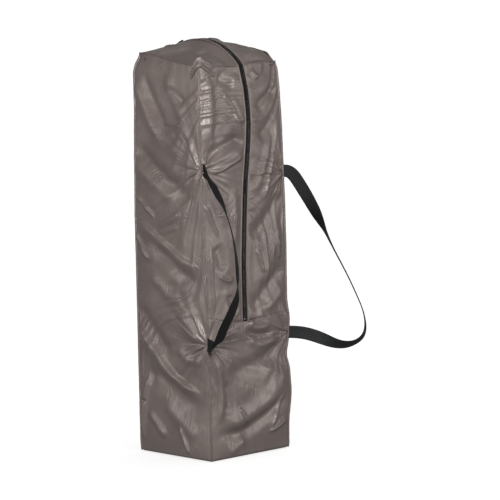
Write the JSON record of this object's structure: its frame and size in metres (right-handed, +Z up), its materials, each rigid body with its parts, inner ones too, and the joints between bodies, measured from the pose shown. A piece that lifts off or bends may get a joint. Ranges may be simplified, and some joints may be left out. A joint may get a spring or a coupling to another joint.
{
  "type": "playpen",
  "caption": "Folding playpen packed upright in a zipped cloth carry bag with a domed top and two webbing handles; its frame, wheels and wrapped mattress are inside.",
  "frame": {"origin": "centre of the bag's base, on the surface that it stands on", "axes": "+Z up along the bag; -Y out of the face with the zip; +X to the right when facing the zip"},
  "size_m": [0.4032, 0.3737, 0.8217],
  "materials": {
    "bag_cloth": "satin woven polyester taffeta with a coated back",
    "zip_tape": "matt woven polyester tape",
    "zip_coil": "nylon coil",
    "zip_metal": "black lacquered zinc",
    "webbing": "ribbed polypropylene webbing",
    "frame_tube": "grey powder-coated steel tube",
    "moulding": "fine-textured nylon moulding",
    "wheel": "matt moulded wheel",
    "pin_steel": "plain steel rivets",
    "side_cloth": "soft woven polyester with mesh",
    "mattress_cover": "woven polyester cover over foam"
  },
  "bodies": {
    "bag": {"bag_base": "bag_cloth", "bag_side_left": "bag_cloth", "bag_side_right": "bag_cloth", "bag_back": "bag_cloth", "bag_front_lower": "bag_cloth", "bag_front_left": "bag_cloth", "bag_front_right": "bag_cloth", "bag_top_left": "bag_cloth", "bag_top_right": "bag_cloth", "corner_seams": "bag_cloth", "zip_tape_left": "zip_tape", "zip_tape_right": "zip_tape", "zip_coil_left": "zip_coil", "zip_coil_right": "zip_coil", "zip_stops": "zip_metal", "leg_front_left": "frame_tube", "leg_front_right": "frame_tube", "leg_back_left": "frame_tube", "leg_back_right": "frame_tube", "top_corner_front_left": "moulding", "top_corner_front_right": "moulding", "top_corner_back_left": "moulding", "top_corner_back_right": "moulding", "foot_front_left": "moulding", "foot_front_right": "moulding", "foot_back_left": "moulding", "foot_back_right": "moulding", "rail_front_left_half": "frame_tube", "rail_left_front_half": "frame_tube", "rail_front_right_half": "frame_tube", "rail_right_front_half": "frame_tube", "rail_back_left_half": "frame_tube", "rail_left_back_half": "frame_tube", "rail_back_right_half": "frame_tube", "rail_right_back_half": "frame_tube", "rail_latch_front": "moulding", "rail_latch_back": "moulding", "rail_latch_left": "moulding", "rail_latch_right": "moulding", "floor_bar_front_left": "frame_tube", "floor_bar_front_right": "frame_tube", "floor_bar_back_left": "frame_tube", "floor_bar_back_right": "frame_tube", "floor_hub": "moulding", "hub_pull_loop": "webbing", "frame_pins": "pin_steel", "side_fabric": "side_cloth", "mattress_pad_1": "mattress_cover", "mattress_pad_2": "mattress_cover", "mattress_pad_3": "mattress_cover", "mattress_pad_4": "mattress_cover", "mattress_pad_5": "mattress_cover", "mattress_pad_6": "mattress_cover", "mattress_straps": "webbing"},
    "slider": {"zip_slider": "zip_metal"},
    "pull": {"zip_pull_tab": "zip_metal"},
    "left_handle": {"handle_left": "webbing"},
    "right_handle": {"handle_right": "webbing"},
    "front_wheel": {"wheel_front": "wheel"},
    "back_wheel": {"wheel_back": "wheel"}
  },
  "joints": [
    {"name": "zip_slider_travel", "type": "hinge", "parent": "bag", "child": "slider", "pos_m": [0, 0.02089, 0.65945], "axis": [1, 0, 0], "range_deg": [0, 63.3]},
    {"name": "pull_tab_hinge", "type": "hinge", "parent": "slider", "child": "pull", "pos_m": [0, 0.08299, 0.81313], "axis": [1, 0, 0], "range_deg": [-6, 178]},
    {"name": "left_handle_swing", "type": "hinge", "parent": "bag", "child": "left_handle", "pos_m": [-0.1067, -0.0992, 0.398], "axis": [0, 0, 1], "range_deg": [-150, 54]},
    {"name": "right_handle_swing", "type": "hinge", "parent": "bag", "child": "right_handle", "pos_m": [0.1067, -0.0992, 0.398], "axis": [0, 0, 1], "range_deg": [-82, 114]},
    {"name": "front_wheel_spin", "type": "hinge", "parent": "bag", "child": "front_wheel", "pos_m": [-0.07625, -0.04375, 0.024], "axis": [1, 0, 0], "continuous": true},
    {"name": "back_wheel_spin", "type": "hinge", "parent": "bag", "child": "back_wheel", "pos_m": [-0.07625, 0.05625, 0.024], "axis": [1, 0, 0], "continuous": true}
  ]
}
